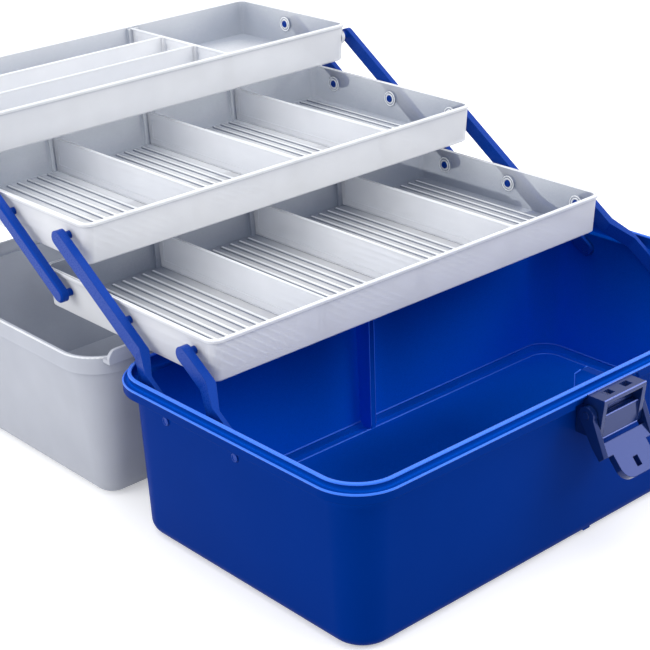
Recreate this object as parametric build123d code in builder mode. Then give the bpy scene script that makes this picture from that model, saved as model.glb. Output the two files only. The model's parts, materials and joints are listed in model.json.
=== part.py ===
from build123d import *
from math import atan, cos, degrees, radians, sin
import os

os.makedirs("parts", exist_ok=True)

# Millimetres. +X runs along the box, -Y is the latch side, +Y the hinge side, +Z is up.
# The box stands open: lid turned right over behind the tub, trays fanned up and back.

# Tub
rim_length = 380.0
rim_width = 207.8
rim_radius = 25.0
rim_height = 105.7
lip = 2.0
lip_rise = 4.0
shoulder = 4.4
skirt_depth = 6.2
wall_inset = 3.0
tub_draft = 2.7
tub_wall = 2.5
tub_floor = 2.5
tub_corner = 23.0
foot_round = 9.0
ledge_drop = 8.2
bevel = 3.5
panel_inset = 10.0
panel_rise = 1.0
fin_reach = 86.6
fin_thick = 5.5
rib_reach = 85.2
rib_thick = 4.3
rib_drop = 6.3

# Pivots and arms
rear_pivot_y = 58.2
pivot_drop = 18.64
pivot_pitch = 61.9
arm_base = 69.7
arm_middle = 68.8
arm_top = 67.1
arm_angle = 34.55
arm_width = 9.6
arm_thick = 5.5
arm_gap = 3.0
strap_thick = 3.0
strap_clear = 0.7
strap_run = 27.0
rise_run = 44.0
kink_round = 4.0
arm_edge = 1.2
shank = 2.5
peg_proud = 0.6
pin_clear = 0.05
side_clear = 0.3

# Trays
tray_length = 336.0
tray_width = 171.6
tray_height = 26.8
tray_corner = 6.7
tray_draft = 1.9
tray_wall = 1.8
tray_floor = 1.8
tray_foot_edge = 1.2
tray_lip = 0.9
tray_lip_height = 1.8
front_margin = 19.1
pivot_rise = 16.6
top_tray_width = 125.7
top_tray_height = 27.8
top_front_margin = 6.6
top_pivot_rise = 17.6
ring_radius = 5.6

# Dividers and floor stripes
divider = 1.8
divider_clear = 0.25
divider_drop = 1.2
guide_width = 3.7
guide_depth = 2.2
divider_pitch = 81.4
bottom_divider_mid = 1.6
middle_divider_mid = 3.6
border = 5.0
panel_sunk = 0.4
stripe_width = 3.0
stripe_rise = 0.7
stripes = 9
stripe_margin = 6.0
cross_divider_x = 55.4

# Lid, as it lies open
hinge_gap = 13.6
hinge_drop = 3.2
lid_rim_over = 0.7
lid_end_over = 4.5
lid_side_over = 4.85
lid_corner = 28.5
band = 11.0
band_wall = 2.5
band_inside = 8.7
lid_wall = 2.2
lid_draft = 13.0
crown_round = 11.0
crown_thick = 2.5
leaf_half = 182.0
leaf_thick = 2.5
leaf_gap = 1.0
leaf_rise = 6.2
leaf_round = 6.0
shelf = 2.5
knuckle = 4.6
knuckle_width = 14.0
lid_knuckle_width = 11.0
knuckle_gap = 0.6
knuckle_root = 1.2
knuckle_pitch = 115.0
hinge_pin = 2.0
catch_width = 16.0
catch_reach = 8.0
catch_height = 10.0
catch_drop = 29.2

# Handle in the crown
pocket_end_gap = 5.0
pocket_side_gap = 6.0
pocket_depth = 12.5
pocket_corner = 8.0
handle_length = 150.0
handle_reach = 34.0
handle_thick = 9.0
handle_lift = 0.6
grip = 13.0
leg = 15.0
handle_corner = 12.0
grip_edge = 2.5
handle_pin = 2.6

# Latch
bracket_half = 18.4
bracket_reach = 12.6
bracket_drop = 4.2
bracket_height = 25.5
bracket_plate = 2.8
cheek = 3.0
face_back = 3.0
face_drop = 11.5
web_back = 9.0
window = 6.4
window_depth = 5.0
window_pitch = 15.4
window_back = 6.4
stake = 3.0
stake_x = 9.0
stake_rise = 8.0
notch_half = 28.0
notch_height = 4.1
notch_round = 3.0
lever_out = 3.1
lever_rise = 14.7
lever_lean = 40.0
lever_boss = 5.4
lever_arm = 3.6
lever_gap = 0.5
lever_face = 3.5
lever_plate = 4.5
lever_web = 18.0
lever_step = 26.0
lever_length = 42.5
tongue = 29.0
tongue_corner = 8.0
catch_slot = 4.0
catch_slot_height = 6.0
catch_slot_at = 35.0
lever_pin = 2.2

# Derived sizes
shoulder_z = rim_height - lip_rise
rib_height = rim_height - rib_drop
pivot_z = rim_height - pivot_drop
hinge_z = rim_height - hinge_drop
lid_rim_z = hinge_z + lid_rim_over
catch_low = lid_rim_z - catch_drop
bracket_top = rim_height - bracket_drop
bracket_bottom = bracket_top - bracket_height
face_top = bracket_top - face_drop
stake_z = bracket_bottom + stake_rise
lever_z = bracket_bottom + lever_rise
skirt_z = shoulder_z - skirt_depth
ledge_z = rim_height - ledge_drop
skirt_length = rim_length + 2 * shoulder
skirt_width = rim_width + 2 * shoulder
wall_length = rim_length - 2 * wall_inset
wall_width = rim_width - 2 * wall_inset
foot_length = wall_length - 2 * tub_draft
foot_width = wall_width - 2 * tub_draft
tub_angle = degrees(atan(tub_draft / skirt_z))
notch_y = rim_width / 2 + lip
hinge_y = skirt_width / 2 + hinge_gap / 2
lid_length = rim_length + 2 * lid_end_over
lid_width = rim_width + 2 * lid_side_over
pocket_length = handle_length + 2 * pocket_end_gap
pocket_width = handle_reach + 2 * pocket_side_gap
lever_y = skirt_width / 2 + lever_out
front_pivot_y = rear_pivot_y - pivot_pitch
wall_at_pivot = foot_length / 2 + tub_draft * pivot_z / skirt_z
ux = cos(radians(arm_angle))
uz = sin(radians(arm_angle))
arm_in = tray_length / 2 + arm_gap
arm_out = arm_in + arm_thick
strap_out = wall_at_pivot - tub_wall - strap_clear
strap_in = strap_out - strap_thick
ring_x = tray_length / 2 - tray_lip - tray_draft - tray_wall

bottom_pivot = (front_pivot_y + arm_base * ux, pivot_z + arm_base * uz)
middle_pivot = (bottom_pivot[0] + pivot_pitch + arm_middle * ux, bottom_pivot[1] + arm_middle * uz)
top_pivot = (middle_pivot[0] + pivot_pitch + arm_top * ux, middle_pivot[1] + arm_top * uz)

# Tub: drafted walls, stepped-out rim with a shoulder and lip, panelled floor
with BuildPart() as base_tub:
    with BuildSketch(Plane.XY):
        RectangleRounded(foot_length, foot_width, tub_corner - tub_draft)
    extrude(amount=skirt_z, taper=-tub_angle)
    fillet(base_tub.faces().sort_by(Axis.Z)[0].edges(), foot_round)
    with BuildSketch(Plane.XY.offset(skirt_z)):
        RectangleRounded(skirt_length, skirt_width, rim_radius + shoulder)
    extrude(amount=skirt_depth)
    with BuildSketch(Plane.XY.offset(shoulder_z)):
        RectangleRounded(rim_length + lip, rim_width + lip, rim_radius + lip / 2)
    extrude(amount=lip_rise)

    # Inside: tapered well, bevel at the floor, wider mouth above the ledge
    bevel_top = tub_floor + bevel
    well_grow = tub_draft * bevel_top / skirt_z
    well_length = foot_length - 2 * tub_wall + 2 * well_grow
    well_width = foot_width - 2 * tub_wall + 2 * well_grow
    well_corner = tub_corner - tub_draft - tub_wall + well_grow
    with BuildSketch(Plane.XY.offset(bevel_top)):
        RectangleRounded(well_length, well_width, well_corner)
    extrude(amount=ledge_z - bevel_top, taper=-tub_angle, mode=Mode.SUBTRACT)
    with BuildSketch(Plane.XY.offset(bevel_top)):
        RectangleRounded(well_length, well_width, well_corner)
    extrude(amount=-bevel, taper=45, mode=Mode.SUBTRACT)
    with BuildSketch(Plane.XY.offset(ledge_z)):
        RectangleRounded(rim_length - lip, rim_width - lip, rim_radius - lip / 2)
    extrude(amount=ledge_drop, mode=Mode.SUBTRACT)

    # Raised floor panel
    with BuildSketch(Plane.XY.offset(tub_floor)):
        RectangleRounded(
            well_length - 2 * panel_inset, well_width - 2 * panel_inset, well_corner - bevel
        )
    extrude(amount=panel_rise, taper=20)

    # Centre rib on the back wall and centre fin on the front wall
    with BuildSketch(Plane.YZ):
        with BuildLine():
            Polyline(
                (rib_reach, tub_floor),
                (foot_width / 2 - tub_wall / 2, tub_floor),
                (wall_width / 2 - tub_wall / 2, ledge_z - side_clear),
                (wall_width / 2 - tub_wall / 2, rib_height),
                (rib_reach, rib_height),
                close=True,
            )
        make_face()
    extrude(amount=rib_thick / 2, both=True)
    with BuildSketch(Plane.YZ):
        with BuildLine():
            Polyline(
                (-fin_reach, tub_floor),
                (tub_wall / 2 - foot_width / 2, tub_floor),
                (tub_wall / 2 - wall_width / 2, ledge_z - side_clear),
                (-rim_width / 2, ledge_z - side_clear),
                (-rim_width / 2, rim_height),
                (-fin_reach - 2 * lip, rim_height),
                (-fin_reach, rim_height - 2 * lip),
                close=True,
            )
        make_face()
    extrude(amount=fin_thick / 2, both=True)

    # Notch in the skirt for the latch
    with BuildSketch(Plane.XZ.offset(notch_y)):
        with Locations((0, skirt_z)):
            RectangleRounded(2 * notch_half, 2 * notch_height, notch_round)
    extrude(amount=2 * shoulder, mode=Mode.SUBTRACT)

    # Knuckles for the hinge pins
    for x in (-knuckle_pitch, knuckle_pitch):
        with BuildSketch(Plane.YZ.offset(x)):
            with Locations((hinge_y, hinge_z)):
                Circle(knuckle)
            Polygon(
                (skirt_width / 2 - knuckle_root, skirt_z),
                (skirt_width / 2 - knuckle_root, shoulder_z),
                (hinge_y, shoulder_z),
                (hinge_y, hinge_z - knuckle),
                align=None,
            )
        extrude(amount=knuckle_width / 2, both=True)
    with BuildSketch(Plane.YZ):
        with Locations((hinge_y, hinge_z)):
            Circle(hinge_pin + pin_clear)
    extrude(amount=rim_length / 2, both=True, mode=Mode.SUBTRACT)

    # Pivot holes in the end walls
    with BuildSketch(Plane.YZ):
        with Locations((front_pivot_y, pivot_z), (rear_pivot_y, pivot_z)):
            Circle(shank + pin_clear)
    extrude(amount=rim_length / 2, both=True, mode=Mode.SUBTRACT)

    # Holes in the front wall for the latch stakes
    with BuildSketch(Plane.XZ.offset(wall_width / 2 - 3 * tub_wall)):
        with Locations((-stake_x, stake_z), (stake_x, stake_z)):
            Circle(stake + pin_clear)
    extrude(amount=4 * tub_wall, mode=Mode.SUBTRACT)
base_tub.part.label = "base_tub"
export_step(base_tub.part, "parts/base_tub.step")

# Hinge pins
with BuildPart() as hinge_pins:
    pin_length = knuckle_width + 2 * lid_knuckle_width + 2 * knuckle_gap
    for x in (-knuckle_pitch, knuckle_pitch):
        with BuildSketch(Plane.YZ.offset(x)):
            with Locations((hinge_y, hinge_z)):
                Circle(hinge_pin)
        extrude(amount=pin_length / 2, both=True)
hinge_pins.part.label = "hinge_pins"
export_step(hinge_pins.part, "parts/hinge_pins.step")

# Lid: the hollow of the shell first, then the shell
lid_y = hinge_y + hinge_gap / 2 + lid_width / 2
lid_low = Plane(origin=(0, lid_y, 0))
band_z = lid_rim_z - band
step_z = lid_rim_z - band_inside
side_length = lid_length - 2 * band_wall
side_width = lid_width - 2 * band_wall
side_corner = lid_corner - band_wall
lid_angle = degrees(atan(lid_draft / band_z))

with BuildPart() as lid_hollow:
    with BuildSketch(lid_low.offset(step_z)):
        RectangleRounded(
            side_length - 2 * lid_wall, side_width - 2 * lid_wall, side_corner - lid_wall
        )
    extrude(amount=crown_thick - step_z, taper=lid_angle)
    chamfer(lid_hollow.faces().sort_by(Axis.Z)[0].edges(), crown_round - lid_wall)

with BuildPart() as lid:
    with BuildSketch(lid_low.offset(band_z)):
        RectangleRounded(side_length, side_width, side_corner)
    extrude(amount=-band_z, taper=lid_angle)
    fillet(lid.faces().sort_by(Axis.Z)[0].edges(), crown_round)
    with BuildSketch(lid_low.offset(band_z)):
        RectangleRounded(lid_length, lid_width, lid_corner)
    extrude(amount=band)

    # Shelf and upturned leaf along the hinge side
    leaf_y = hinge_y + hinge_gap / 2 - leaf_gap - leaf_thick
    with BuildSketch(Plane.XY.offset(lid_rim_z - shelf)):
        with Locations((0, leaf_y)):
            Rectangle(2 * leaf_half, shelf + leaf_thick + 2 * leaf_gap, align=(Align.CENTER, Align.MIN))
    extrude(amount=shelf)
    with BuildSketch(Plane.XZ.offset(-leaf_y)) as leaf_outline:
        with Locations((0, lid_rim_z - shelf)):
            Rectangle(2 * leaf_half, shelf + leaf_rise, align=(Align.CENTER, Align.MIN))
        fillet(leaf_outline.vertices().group_by(Axis.Y)[-1], leaf_round)
    extrude(amount=-leaf_thick)

    # Knuckles either side of each tub knuckle
    step_x = (knuckle_width + lid_knuckle_width) / 2 + knuckle_gap
    for middle in (-knuckle_pitch, knuckle_pitch):
        for x in (middle - step_x, middle + step_x):
            with BuildSketch(Plane.YZ.offset(x)):
                with Locations((hinge_y, hinge_z)):
                    Circle(knuckle)
                Polygon(
                    (hinge_y, hinge_z - knuckle),
                    (hinge_y, lid_rim_z),
                    (leaf_y + leaf_thick + 2 * leaf_gap, lid_rim_z),
                    (leaf_y + leaf_thick + 2 * leaf_gap, hinge_z - knuckle),
                    align=None,
                )
            extrude(amount=lid_knuckle_width / 2, both=True)

    # Room for the tub knuckles
    with BuildSketch(Plane.XY.offset(lid_rim_z - 2 * shelf)):
        with Locations((-knuckle_pitch, leaf_y), (knuckle_pitch, leaf_y)):
            Rectangle(
                knuckle_width + 2 * knuckle_gap,
                2 * (leaf_thick + leaf_gap) - pin_clear,
            )
    extrude(amount=4 * shelf + leaf_rise, mode=Mode.SUBTRACT)

    # Catch on the front wall
    catch_half = side_width / 2 - lid_draft * (1 - catch_low / band_z)
    with BuildSketch(lid_low.offset(catch_low)):
        with Locations((0, catch_half - lid_wall / 2)):
            Rectangle(catch_width, catch_reach + lid_wall / 2, align=(Align.CENTER, Align.MIN))
    extrude(amount=catch_height, taper=6)

    # Hollow out, widen the mouth, then press the handle pocket into the crown
    add(lid_hollow.part, mode=Mode.SUBTRACT)
    with BuildSketch(lid_low.offset(step_z)):
        RectangleRounded(side_length, side_width, side_corner)
    extrude(amount=band_inside, mode=Mode.SUBTRACT)
    with BuildSketch(lid_low.offset(crown_thick / 2)):
        RectangleRounded(
            pocket_length + 2 * lid_wall, pocket_width + 2 * lid_wall, pocket_corner + lid_wall
        )
    extrude(amount=pocket_depth + lid_wall - crown_thick / 2)
    with BuildSketch(lid_low):
        RectangleRounded(pocket_length, pocket_width, pocket_corner)
    extrude(amount=pocket_depth, mode=Mode.SUBTRACT)

    # Bores for the hinge pins and the handle pins
    with BuildSketch(Plane.YZ):
        with Locations((hinge_y, hinge_z)):
            Circle(hinge_pin + pin_clear)
    extrude(amount=rim_length / 2, both=True, mode=Mode.SUBTRACT)
    handle_y = lid_y - handle_reach / 2 + handle_thick / 2
    handle_z = handle_lift + handle_thick / 2
    with BuildSketch(Plane.YZ):
        with Locations((handle_y, handle_z)):
            Circle(handle_pin + pin_clear)
    extrude(amount=pocket_length / 2 + 2 * lid_wall, both=True, mode=Mode.SUBTRACT)
lid.part.label = "lid"
export_step(lid.part, "parts/lid.step")

# Folding handle: two legs and a grip, round at the pivots
with BuildPart() as handle:
    with BuildSketch(lid_low.offset(handle_lift)) as handle_outline:
        Rectangle(handle_length, handle_reach)
        fillet(handle_outline.vertices().group_by(Axis.Y)[-1], handle_corner)
        with Locations((0, -handle_reach / 2)):
            Rectangle(
                handle_length - 2 * leg,
                handle_reach - grip,
                align=(Align.CENTER, Align.MIN),
                mode=Mode.SUBTRACT,
            )
    extrude(amount=handle_thick)
    back_edges = handle.faces().sort_by(Axis.Y)[:2].edges().filter_by(Axis.X)
    fillet(back_edges, handle_thick / 2 - pin_clear)
    front_edges = handle.faces().sort_by(Axis.Y)[-1].edges().filter_by(Axis.X)
    chamfer(front_edges, grip_edge)
    with BuildSketch(Plane.YZ):
        with Locations((handle_y, handle_z)):
            Circle(handle_pin + pin_clear)
    extrude(amount=handle_length, both=True, mode=Mode.SUBTRACT)
handle.part.label = "handle"
export_step(handle.part, "parts/handle.step")

with BuildPart() as handle_pins:
    for side in (-1, 1):
        with BuildSketch(Plane.YZ.offset(side * (handle_length / 2 - leg + 2 * side_clear))):
            with Locations((handle_y, handle_z)):
                Circle(handle_pin)
        extrude(amount=side * (leg + (pocket_length - handle_length) / 2 + lid_wall))
handle_pins.part.label = "handle_pins"
export_step(handle_pins.part, "parts/handle_pins.step")

# Straight arms: the long one has three pegs, the short one two, each through a tray's end wall
arm_specs = (
    ("arm_upper_long", bottom_pivot, 2 * pivot_pitch, (0, arm_middle, arm_middle + arm_top)),
    ("arm_upper_short", middle_pivot, 2 * pivot_pitch, (0, arm_top)),
)
for name, pivot, ahead, pegs in arm_specs:
    side_view = Plane(
        origin=(arm_in, pivot[0] + ahead, pivot[1]), x_dir=(0, ux, uz), z_dir=(1, 0, 0)
    )
    with BuildPart() as arm_right:
        with BuildSketch(side_view):
            with Locations((pegs[-1] / 2, 0)):
                SlotCenterToCenter(pegs[-1], arm_width)
        extrude(amount=arm_thick)
        chamfer(arm_right.faces().sort_by(Axis.X)[-1].edges(), arm_edge)
        with BuildSketch(side_view):
            with Locations(*[(peg, 0) for peg in pegs]):
                Circle(shank)
        extrude(amount=ring_x - peg_proud - arm_in)
    with BuildPart() as arm_left:
        mirror(arm_right.part, about=Plane.YZ)
    arm_right.part.label = f"{name}_right"
    arm_left.part.label = f"{name}_left"
    export_step(arm_right.part, f"parts/{name}_right.step")
    export_step(arm_left.part, f"parts/{name}_left.step")

# Cranked arms: a thin strap inside the tub steps inwards to the full section beside the trays
crank_specs = (
    ("arm_lower_long", rear_pivot_y, (arm_base, arm_base + arm_middle)),
    ("arm_lower_short", front_pivot_y, (arm_base,)),
)
for name, pivot_y, pegs in crank_specs:
    edge_view = Plane(origin=(0, pivot_y, pivot_z), x_dir=(0, ux, uz), z_dir=(0, uz, -ux))
    side_view = Plane(origin=(0, pivot_y, pivot_z), x_dir=(0, ux, uz), z_dir=(1, 0, 0))
    reach = pegs[-1] + arm_width
    with BuildPart() as arm_right:
        with BuildSketch(edge_view) as crank:
            Polygon(
                (-arm_width, strap_in),
                (strap_run, strap_in),
                (rise_run, arm_in),
                (reach, arm_in),
                (reach, arm_out),
                (rise_run + strap_thick, arm_out),
                (strap_run + strap_thick, strap_out),
                (-arm_width, strap_out),
                align=None,
            )
            bends = crank.vertices().filter_by_position(Axis.X, strap_run - side_clear, rise_run + arm_thick)
            fillet(bends, kink_round)
        extrude(amount=arm_width, both=True)
        with BuildSketch(side_view):
            with Locations((pegs[-1] / 2, 0)):
                SlotCenterToCenter(pegs[-1], arm_width)
        extrude(amount=rim_length, mode=Mode.INTERSECT)
        with BuildSketch(side_view):
            Circle(shank + pin_clear)
        extrude(amount=rim_length, mode=Mode.SUBTRACT)
        with BuildSketch(side_view.offset(arm_in)):
            with Locations(*[(peg, 0) for peg in pegs]):
                Circle(shank)
        extrude(amount=ring_x - peg_proud - arm_in)
    with BuildPart() as arm_left:
        mirror(arm_right.part, about=Plane.YZ)
    arm_right.part.label = f"{name}_right"
    arm_left.part.label = f"{name}_left"
    export_step(arm_right.part, f"parts/{name}_right.step")
    export_step(arm_left.part, f"parts/{name}_left.step")

# Rivets through the end walls of the tub, closed flush at both ends
with BuildPart() as base_rivets:
    with BuildSketch(Plane.YZ.offset(strap_in)):
        with Locations((front_pivot_y, pivot_z), (rear_pivot_y, pivot_z)):
            Circle(shank)
    extrude(amount=wall_at_pivot + peg_proud - strap_in)
    mirror(about=Plane.YZ)
base_rivets.part.label = "base_rivets"
export_step(base_rivets.part, "parts/base_rivets.step")

# Trays: drafted shells with a rim lip, rings round the arm pegs, divider guides and stripes
tray_specs = (
    ("tray_bottom", bottom_pivot, front_margin, pivot_rise, tray_width, tray_height, (0, 1, 2)),
    ("tray_middle", middle_pivot, front_margin, pivot_rise, tray_width, tray_height, (0, 1, 2)),
    ("tray_top", top_pivot, top_front_margin, top_pivot_rise, top_tray_width, top_tray_height, (0, 1)),
)
divider_mids = {"tray_bottom": bottom_divider_mid, "tray_middle": middle_divider_mid}
for name, pivot, margin, rise, width, height, steps in tray_specs:
    angle = degrees(atan(tray_draft / height))
    middle_y = pivot[0] - margin + width / 2
    bottom_z = pivot[1] - rise
    seat = Plane(origin=(0, middle_y, bottom_z))
    side = Plane(origin=(0, middle_y, bottom_z), x_dir=(0, 1, 0), z_dir=(1, 0, 0))
    body_l = tray_length - 2 * tray_lip
    body_w = width - 2 * tray_lip
    foot_l = body_l - 2 * tray_draft
    foot_w = body_w - 2 * tray_draft
    grow = tray_draft * tray_floor / height
    inner_l = foot_l - 2 * tray_wall + 2 * grow
    inner_w = foot_w - 2 * tray_wall + 2 * grow
    lean = tray_draft * (height - tray_floor - divider_drop) / height
    guide_top = height - divider_drop
    slot = divider + 2 * divider_clear
    stations = [cross_divider_x]
    if name in divider_mids:
        mid = divider_mids[name]
        stations = [mid - divider_pitch, mid, mid + divider_pitch]
    hole_y = [margin - width / 2 + step * pivot_pitch for step in steps]

    with BuildPart() as tray:
        with BuildSketch(seat):
            RectangleRounded(foot_l, foot_w, tray_corner - tray_draft)
        extrude(amount=height, taper=-angle)
        chamfer(tray.faces().sort_by(Axis.Z)[0].edges(), tray_foot_edge)
        with BuildSketch(seat.offset(height - tray_lip_height)):
            RectangleRounded(tray_length, width, tray_corner + tray_lip)
        extrude(amount=tray_lip_height)
        with BuildSketch(seat.offset(tray_floor)):
            RectangleRounded(inner_l, inner_w, tray_corner - tray_draft - tray_wall + grow)
        extrude(amount=height - tray_floor, taper=-angle, mode=Mode.SUBTRACT)

        # Rings inside the end walls, round the pegs of the arms
        wall_middle = body_l / 2 - tray_draft * (height - rise) / height - tray_wall / 2
        for direction in (-1, 1):
            with BuildSketch(side.offset(direction * ring_x)):
                with Locations(*[(y, rise) for y in hole_y]):
                    Circle(ring_radius)
            extrude(amount=direction * (wall_middle - ring_x))
        with BuildSketch(side):
            with Locations(*[(y, rise) for y in hole_y]):
                Circle(shank + pin_clear)
        extrude(amount=tray_length, both=True, mode=Mode.SUBTRACT)

        # Paired guides for the dividers, leaning with the walls
        for station in stations:
            for x in (station - (slot + guide_width) / 2, station + (slot + guide_width) / 2):
                with BuildSketch(side.offset(x)):
                    Polygon(
                        (inner_w / 2 - guide_depth, tray_floor),
                        (inner_w / 2 + tray_wall / 2, tray_floor),
                        (inner_w / 2 + tray_wall / 2 + lean, guide_top),
                        (inner_w / 2 - guide_depth + lean, guide_top),
                        align=None,
                    )
                    mirror(about=Plane.YZ)
                extrude(amount=guide_width / 2, both=True)

        # Floor stripes, front to back
        edges_x = [-inner_l / 2, *stations, inner_l / 2]
        if name in divider_mids:
            with BuildSketch(seat.offset(tray_floor)):
                for left, right in zip(edges_x[:-1], edges_x[1:]):
                    pitch = (right - left - 2 * stripe_margin) / stripes
                    with Locations(((left + right) / 2, 0)):
                        with GridLocations(pitch, 0, stripes, 1):
                            Rectangle(stripe_width, inner_w - 4 * guide_depth)
            extrude(amount=stripe_rise)
    tray.part.label = name
    export_step(tray.part, f"parts/{name}.step")

    # Cross dividers with a raised border
    bottom_half = inner_w / 2 - divider_clear
    for number, station in enumerate(stations, start=1):
        with BuildPart() as cross:
            with BuildSketch(side.offset(station)):
                Polygon(
                    (-bottom_half, tray_floor + stripe_rise),
                    (bottom_half, tray_floor + stripe_rise),
                    (bottom_half + lean, guide_top),
                    (-bottom_half - lean, guide_top),
                    align=None,
                )
            extrude(amount=divider / 2, both=True)
            for face in (-1, 1):
                with BuildSketch(side.offset(station + face * divider / 2)):
                    with Locations((0, (tray_floor + stripe_rise + guide_top) / 2)):
                        Rectangle(2 * (bottom_half - border), guide_top - tray_floor - 2 * border)
                extrude(amount=-face * panel_sunk, mode=Mode.SUBTRACT)
            if name == "tray_top":
                third = inner_w / 6
                post = (slot + guide_depth) / 2
                with BuildSketch(side.offset(station - divider / 2)):
                    for y in (-third - post, -third + post, third - post, third + post):
                        with Locations((y, tray_floor + stripe_rise)):
                            Rectangle(
                                guide_depth,
                                guide_top - tray_floor - stripe_rise,
                                align=(Align.CENTER, Align.MIN),
                            )
                extrude(amount=-guide_depth)
        label = f"{name}_divider_{number}"
        cross.part.label = label
        export_step(cross.part, f"parts/{label}.step")

    # The top tray's two lengthwise dividers
    if name == "tray_top":
        near_end = -inner_l / 2 + divider_clear
        far_end = stations[0] - divider / 2 - divider_clear
        for number, y in enumerate((-third, third), start=1):
            with BuildPart() as long_divider:
                with BuildSketch(Plane.XZ.offset(-middle_y - y)):
                    Polygon(
                        (near_end, bottom_z + tray_floor + divider_clear),
                        (far_end, bottom_z + tray_floor + divider_clear),
                        (far_end, bottom_z + guide_top),
                        (near_end - lean, bottom_z + guide_top),
                        align=None,
                    )
                extrude(amount=divider / 2, both=True)
            label = f"tray_top_long_divider_{number}"
            long_divider.part.label = label
            export_step(long_divider.part, f"parts/{label}.step")

# Latch bracket: cheeks, a top plate with two square windows, and a face with a slot above it
front_y = -skirt_width / 2 - bracket_reach
back_y = -wall_width / 2 - side_clear
with BuildPart() as latch_bracket:
    with BuildSketch(Plane.YZ):
        Polygon(
            (back_y, bracket_bottom),
            (front_y + face_back, bracket_bottom),
            (front_y + face_back, face_top),
            (front_y + web_back, face_top),
            (front_y + web_back, bracket_top - bracket_plate),
            (front_y, bracket_top - bracket_plate),
            (front_y, bracket_top),
            (-skirt_width / 2 - side_clear, bracket_top),
            (-skirt_width / 2 - side_clear, skirt_z + notch_height - side_clear),
            (-notch_y - side_clear, skirt_z + notch_height - side_clear),
            (-notch_y - side_clear, skirt_z - side_clear),
            (back_y, skirt_z - side_clear),
            align=None,
        )
    extrude(amount=bracket_half - cheek / 2, both=True)
    for side in (-1, 1):
        with BuildSketch(Plane.YZ.offset(side * bracket_half)):
            Polygon(
                (back_y, bracket_bottom),
                (front_y + face_back, bracket_bottom),
                (front_y, bracket_top - bracket_plate),
                (front_y, bracket_top),
                (-skirt_width / 2 - side_clear, bracket_top),
                (-skirt_width / 2 - side_clear, skirt_z + notch_height - side_clear),
                (-notch_y - side_clear, skirt_z + notch_height - side_clear),
                (-notch_y - side_clear, skirt_z - side_clear),
                (back_y, skirt_z - side_clear),
                align=None,
            )
        extrude(amount=-side * cheek)
    with BuildSketch(Plane.XY.offset(bracket_top)):
        with Locations((-window_pitch / 2, front_y + window_back), (window_pitch / 2, front_y + window_back)):
            Rectangle(window, window_depth)
    extrude(amount=-2 * bracket_plate, mode=Mode.SUBTRACT)
    with BuildSketch(Plane.XZ.offset(-back_y)):
        with Locations((-stake_x, stake_z), (stake_x, stake_z)):
            Circle(stake)
    extrude(amount=-tub_wall - 2 * side_clear)
    with BuildSketch(Plane.YZ):
        with Locations((-lever_y, lever_z)):
            Circle(lever_pin + pin_clear)
    extrude(amount=bracket_half, both=True, mode=Mode.SUBTRACT)
latch_bracket.part.label = "latch_bracket"
export_step(latch_bracket.part, "parts/latch_bracket.step")

# Latch lever: two arms beside the bracket, joined by a plate with a narrower tongue
lean_y = sin(radians(lever_lean))
lean_z = cos(radians(lever_lean))
lever_plane = Plane(origin=(0, -lever_y, lever_z), x_dir=(1, 0, 0), z_dir=(0, -lean_z, lean_y))
lever_side = Plane(origin=(0, -lever_y, lever_z), x_dir=(0, -lean_y, -lean_z), z_dir=(1, 0, 0))
arm_half = bracket_half + lever_gap
with BuildPart() as latch_lever:
    with BuildSketch(lever_plane.offset(-lever_face)) as flap:
        with Locations((0, -lever_web)):
            Rectangle(
                2 * (arm_half + lever_arm),
                lever_step - lever_web,
                align=(Align.CENTER, Align.MAX),
            )
        with Locations((0, -lever_web)):
            Rectangle(tongue, lever_length - lever_web, align=(Align.CENTER, Align.MAX))
        fillet(flap.vertices().group_by(Axis.Y)[0], tongue_corner)
        with Locations((0, -catch_slot_at)):
            Rectangle(catch_slot, catch_slot_height, mode=Mode.SUBTRACT)
    extrude(amount=-lever_plate)
    for side in (-1, 1):
        with BuildSketch(lever_side.offset(side * arm_half)):
            Circle(lever_boss)
            Polygon(
                (0, lever_boss),
                (lever_web, lever_face + lever_plate),
                (lever_step, lever_face + lever_plate),
                (lever_step, lever_face),
                (lever_boss, -lever_boss / 2),
                (0, -lever_boss),
                align=None,
            )
        extrude(amount=side * lever_arm)
    with BuildSketch(Plane.YZ):
        with Locations((-lever_y, lever_z)):
            Circle(lever_pin + pin_clear)
    extrude(amount=2 * arm_half, both=True, mode=Mode.SUBTRACT)
latch_lever.part.label = "latch_lever"
export_step(latch_lever.part, "parts/latch_lever.step")

with BuildPart() as latch_pin:
    with BuildSketch(Plane.YZ):
        with Locations((-lever_y, lever_z)):
            Circle(lever_pin)
    extrude(amount=arm_half + lever_arm + side_clear, both=True)
latch_pin.part.label = "latch_pin"
export_step(latch_pin.part, "parts/latch_pin.step")
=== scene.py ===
# %% [markdown]
# # A tackle box standing open
# The box is a blue tub with a milky lid folded right back behind it. Three milky trays stand
# fanned out over the lid on eight blue arms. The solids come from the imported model. This lesson
# gives them light, finishes and the small moulded details, one step at a time.

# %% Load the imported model
import json
from math import cos, pi, radians, sin

import bmesh
import bpy
from mathutils import Matrix, Vector


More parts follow.
